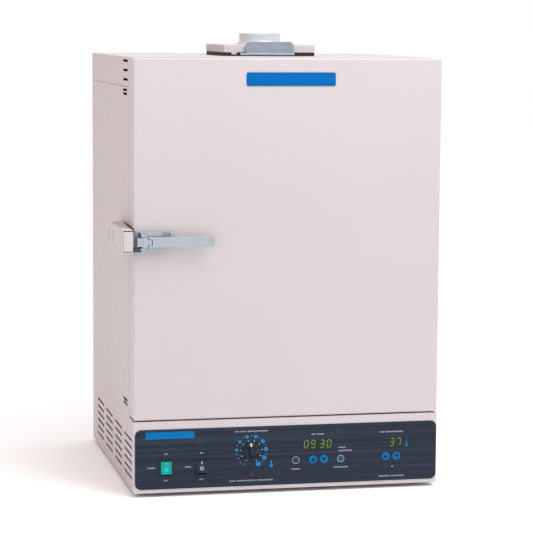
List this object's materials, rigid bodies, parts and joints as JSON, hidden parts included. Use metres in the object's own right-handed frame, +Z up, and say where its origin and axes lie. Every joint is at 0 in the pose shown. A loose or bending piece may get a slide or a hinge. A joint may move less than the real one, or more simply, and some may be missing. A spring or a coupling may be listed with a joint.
{
  "type": "bench-top laboratory incubator",
  "caption": "Bench-top gravity-convection incubator: painted cabinet with a latched front door, a control panel with dial, displays and switches, and a damped vent stack on top.",
  "frame": {"origin": "on the floor, under the middle of the whole object's footprint", "axes": "+Z up, -Y out of the door's front, +X to the right of a user facing the door"},
  "size_m": [0.6352, 0.6154, 0.883],
  "materials": {
    "door_paint": "satin",
    "body_paint": "satin",
    "stainless": "satin",
    "die_cast": "satin",
    "grey_sheet": "satin",
    "zinc": "satin",
    "overlay_film": "satin",
    "blue_film": "gloss",
    "blue_cap": "satin",
    "black_plastic": "satin",
    "display_window": "gloss",
    "green_lens": "gloss",
    "red_lens": "gloss",
    "lamp_green": "gloss",
    "rubber": "matte",
    "silicone": "matte",
    "glass_wool": "matte",
    "circuit_board": "satin"
  },
  "bodies": {
    "cabinet": {"back_panel": "body_paint", "base_front_panel": "body_paint", "base_pan": "body_paint", "chassis_deck": "zinc", "control_board": "circuit_board", "floor_diffuser": "stainless", "foot_front_left": "rubber", "foot_front_right": "rubber", "foot_rear_left": "rubber", "foot_rear_right": "rubber", "front_frame": "stainless", "heater_element": "zinc", "heating_lamp": "lamp_green", "hinge_lower_body_leaf": "zinc", "hinge_upper_body_leaf": "zinc", "inner_chamber": "stainless", "insulation": "glass_wool", "left_side_panel": "body_paint", "over_temp_lamp": "red_lens", "over_temp_probe": "stainless", "over_temp_thermostat": "black_plastic", "panel_overlay": "overlay_film", "power_inlet": "black_plastic", "power_switch_body": "black_plastic", "right_side_panel": "body_paint", "shelf_lower": "stainless", "shelf_rack_left": "stainless", "shelf_rack_right": "stainless", "shelf_upper": "stainless", "strike_bracket": "body_paint", "strike_plate": "door_paint", "temperature_display": "display_window", "temperature_probe": "stainless", "timer_display": "display_window", "timer_switch_body": "black_plastic", "top_cover": "body_paint", "vent_cover": "door_paint", "vent_duct": "stainless", "vent_gasket": "rubber", "vent_stack": "grey_sheet"},
    "door": {"door_outer_panel": "door_paint", "door_inner_panel": "stainless", "door_insulation": "glass_wool", "door_gasket": "silicone", "nameplate": "blue_film", "latch_base": "die_cast", "hinge_upper_door_leaf": "zinc", "hinge_lower_door_leaf": "zinc"},
    "latch": {"latch_nose": "die_cast", "latch_lever": "die_cast"},
    "damper": {"damper_slide": "grey_sheet"},
    "power_rocker_body": {"power_rocker": "green_lens"},
    "timer_rocker_body": {"timer_rocker": "black_plastic"},
    "over_temp_knob_body": {"over_temp_knob": "black_plastic"},
    "audible_button_body": {"audible_button": "overlay_film"},
    "timer_up_button_body": {"timer_up_button": "blue_cap"},
    "timer_down_button_body": {"timer_down_button": "blue_cap"},
    "start_stop_button_body": {"start_stop_button": "overlay_film"},
    "temperature_up_button_body": {"temperature_up_button": "blue_cap"},
    "temperature_down_button_body": {"temperature_down_button": "blue_cap"}
  },
  "joints": [
    {"name": "door_hinge", "type": "hinge", "parent": "cabinet", "child": "door", "pos_m": [0.3068, -0.23105, 0.423], "axis": [0, 0, 1], "range_deg": [0, 165]},
    {"name": "latch_pivot", "type": "hinge", "parent": "door", "child": "latch", "pos_m": [-0.282, -0.29425, 0.492], "axis": [0, 0, -1], "range_deg": [0, 30], "stiffness_Nm_per_rad": 0.8, "springref_deg": -5.73},
    {"name": "damper_slide_out", "type": "slide", "parent": "cabinet", "child": "damper", "axis": [0, -1, 0], "range_m": [0, 0.065]},
    {"name": "power_rocker_tilt", "type": "hinge", "parent": "cabinet", "child": "power_rocker_body", "pos_m": [-0.2375, -0.28035, 0.056], "axis": [1, 0, 0], "range_deg": [0, 18]},
    {"name": "timer_rocker_tilt", "type": "hinge", "parent": "cabinet", "child": "timer_rocker_body", "pos_m": [-0.1685, -0.28035, 0.056], "axis": [1, 0, 0], "range_deg": [0, 18]},
    {"name": "over_temp_knob_turn", "type": "hinge", "parent": "cabinet", "child": "over_temp_knob_body", "pos_m": [-0.0713, -0.28385, 0.0835], "axis": [0, 1, 0], "range_deg": [-140, 150]},
    {"name": "audible_press", "type": "slide", "parent": "cabinet", "child": "audible_button_body", "axis": [0, 1, 0], "range_m": [0, 0.001], "stiffness_N_per_m": 400, "springref_m": -0.001},
    {"name": "timer_up_press", "type": "slide", "parent": "cabinet", "child": "timer_up_button_body", "axis": [0, 1, 0], "range_m": [0, 0.001], "stiffness_N_per_m": 400, "springref_m": -0.001},
    {"name": "timer_down_press", "type": "slide", "parent": "cabinet", "child": "timer_down_button_body", "axis": [0, 1, 0], "range_m": [0, 0.001], "stiffness_N_per_m": 400, "springref_m": -0.001},
    {"name": "start_stop_press", "type": "slide", "parent": "cabinet", "child": "start_stop_button_body", "axis": [0, 1, 0], "range_m": [0, 0.001], "stiffness_N_per_m": 400, "springref_m": -0.001},
    {"name": "temperature_up_press", "type": "slide", "parent": "cabinet", "child": "temperature_up_button_body", "axis": [0, 1, 0], "range_m": [0, 0.001], "stiffness_N_per_m": 400, "springref_m": -0.001},
    {"name": "temperature_down_press", "type": "slide", "parent": "cabinet", "child": "temperature_down_button_body", "axis": [0, 1, 0], "range_m": [0, 0.001], "stiffness_N_per_m": 400, "springref_m": -0.001}
  ]
}
